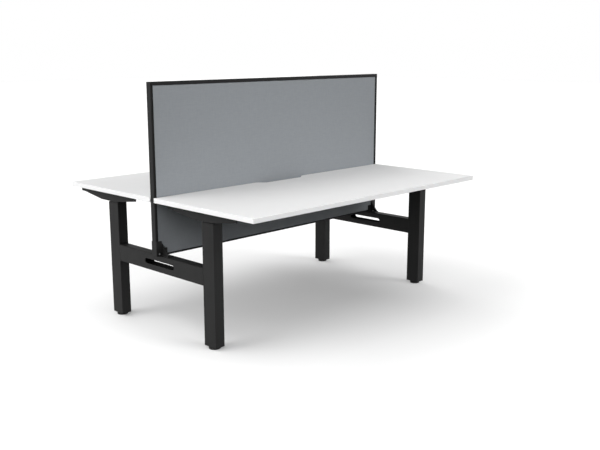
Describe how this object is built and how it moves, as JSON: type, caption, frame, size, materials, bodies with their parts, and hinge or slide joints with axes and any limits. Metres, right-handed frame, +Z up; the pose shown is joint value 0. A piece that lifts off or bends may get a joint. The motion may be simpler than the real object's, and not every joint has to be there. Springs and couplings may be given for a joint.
{
  "type": "back-to-back bench desk",
  "caption": "Back-to-back bench desk: white tops that rise separately on black telescopic columns, slotted end beams between the columns, and a tall grey fabric screen standing on the beams.",
  "frame": {"origin": "On the floor under the middle of the bench, midway between the desks.", "axes": "+X along the length of the tops, to the right for a person at the front desk; +Y from the front desk through the screen to the rear desk; +Z up."},
  "size_m": [1.8, 1.534, 1.3123],
  "materials": {
    "melamine": "smooth white melamine board with matching edging",
    "powder_coat": "black powder coat, fine satin",
    "anodised": "black anodised, satin",
    "fabric": "mid-grey woven cloth over a board",
    "black_plastic": "black, matt",
    "grey_plastic": "mid-grey, matt",
    "steel": "plain turned steel",
    "cast_aluminium": "plain die-cast"
  },
  "bodies": {
    "frame": {"front_left_column": "powder_coat", "front_left_guide_bush": "black_plastic", "front_left_nut_tube": "steel", "front_left_screen_bracket": "powder_coat", "front_right_column": "powder_coat", "front_right_guide_bush": "black_plastic", "front_right_nut_tube": "steel", "front_right_screen_bracket": "powder_coat", "rear_left_column": "powder_coat", "rear_left_guide_bush": "black_plastic", "rear_left_nut_tube": "steel", "rear_left_screen_bracket": "powder_coat", "rear_right_column": "powder_coat", "rear_right_guide_bush": "black_plastic", "rear_right_nut_tube": "steel", "rear_right_screen_bracket": "powder_coat", "left_end_beam": "powder_coat", "right_end_beam": "powder_coat", "screen_panel": "fabric", "screen_top_rail": "anodised", "screen_bottom_rail": "anodised", "screen_left_stile": "anodised", "screen_right_stile": "anodised"},
    "front_desk": {"front_top": "melamine", "front_inner_rail": "powder_coat", "front_outer_rail": "powder_coat", "front_control_box": "black_plastic", "front_handset": "black_plastic", "front_left_arm": "powder_coat", "front_left_inner_tube": "powder_coat", "front_left_gear_motor": "cast_aluminium", "front_right_arm": "powder_coat", "front_right_inner_tube": "powder_coat", "front_right_gear_motor": "cast_aluminium"},
    "rear_desk": {"rear_top": "melamine", "rear_inner_rail": "powder_coat", "rear_outer_rail": "powder_coat", "rear_control_box": "black_plastic", "rear_handset": "black_plastic", "rear_left_arm": "powder_coat", "rear_left_inner_tube": "powder_coat", "rear_left_gear_motor": "cast_aluminium", "rear_right_arm": "powder_coat", "rear_right_inner_tube": "powder_coat", "rear_right_gear_motor": "cast_aluminium"},
    "front_left_spindle": {"front_left_spindle": "steel"},
    "front_right_spindle": {"front_right_spindle": "steel"},
    "front_up_button": {"front_up_button": "grey_plastic"},
    "front_down_button": {"front_down_button": "grey_plastic"},
    "rear_left_spindle": {"rear_left_spindle": "steel"},
    "rear_right_spindle": {"rear_right_spindle": "steel"},
    "rear_up_button": {"rear_up_button": "grey_plastic"},
    "rear_down_button": {"rear_down_button": "grey_plastic"},
    "front_left_foot": {"front_left_foot": "black_plastic"},
    "front_right_foot": {"front_right_foot": "black_plastic"},
    "rear_left_foot": {"rear_left_foot": "black_plastic"},
    "rear_right_foot": {"rear_right_foot": "black_plastic"}
  },
  "joints": [
    {"name": "front_lift", "type": "slide", "parent": "frame", "child": "front_desk", "axis": [0, 0, 1], "range_m": [0, 0.48]},
    {"name": "rear_lift", "type": "slide", "parent": "frame", "child": "rear_desk", "axis": [0, 0, 1], "range_m": [0, 0.48]},
    {"name": "front_left_spindle_turn", "type": "hinge", "parent": "front_desk", "child": "front_left_spindle", "pos_m": [-0.839, -0.4035, 0.4], "axis": [0, 0, 1], "range_deg": [0, 14401]},
    {"name": "front_right_spindle_turn", "type": "hinge", "parent": "front_desk", "child": "front_right_spindle", "pos_m": [0.839, -0.4035, 0.4], "axis": [0, 0, 1], "range_deg": [0, 14401]},
    {"name": "rear_left_spindle_turn", "type": "hinge", "parent": "rear_desk", "child": "rear_left_spindle", "pos_m": [-0.839, 0.4035, 0.4], "axis": [0, 0, 1], "range_deg": [0, 14401]},
    {"name": "rear_right_spindle_turn", "type": "hinge", "parent": "rear_desk", "child": "rear_right_spindle", "pos_m": [0.839, 0.4035, 0.4], "axis": [0, 0, 1], "range_deg": [0, 14401]},
    {"name": "front_up_press", "type": "slide", "parent": "front_desk", "child": "front_up_button", "axis": [0, 1, 0], "range_m": [0, 0.0012], "stiffness_N_per_m": 1000},
    {"name": "front_down_press", "type": "slide", "parent": "front_desk", "child": "front_down_button", "axis": [0, 1, 0], "range_m": [0, 0.0012], "stiffness_N_per_m": 1000},
    {"name": "rear_up_press", "type": "slide", "parent": "rear_desk", "child": "rear_up_button", "axis": [0, -1, 0], "range_m": [0, 0.0012], "stiffness_N_per_m": 1000},
    {"name": "rear_down_press", "type": "slide", "parent": "rear_desk", "child": "rear_down_button", "axis": [0, -1, 0], "range_m": [0, 0.0012], "stiffness_N_per_m": 1000},
    {"name": "front_left_foot_turn", "type": "hinge", "parent": "frame", "child": "front_left_foot", "pos_m": [-0.839, -0.4035, 0], "axis": [0, 0, 1], "continuous": true},
    {"name": "front_right_foot_turn", "type": "hinge", "parent": "frame", "child": "front_right_foot", "pos_m": [0.839, -0.4035, 0], "axis": [0, 0, 1], "continuous": true},
    {"name": "rear_left_foot_turn", "type": "hinge", "parent": "frame", "child": "rear_left_foot", "pos_m": [-0.839, 0.4035, 0], "axis": [0, 0, 1], "continuous": true},
    {"name": "rear_right_foot_turn", "type": "hinge", "parent": "frame", "child": "rear_right_foot", "pos_m": [0.839, 0.4035, 0], "axis": [0, 0, 1], "continuous": true}
  ],
  "couplings": [
    {"joint": "front_left_spindle_turn", "follows": "front_lift", "rad_per_m": 523.6},
    {"joint": "front_right_spindle_turn", "follows": "front_lift", "rad_per_m": 523.6},
    {"joint": "rear_left_spindle_turn", "follows": "rear_lift", "rad_per_m": 523.6},
    {"joint": "rear_right_spindle_turn", "follows": "rear_lift", "rad_per_m": 523.6}
  ]
}
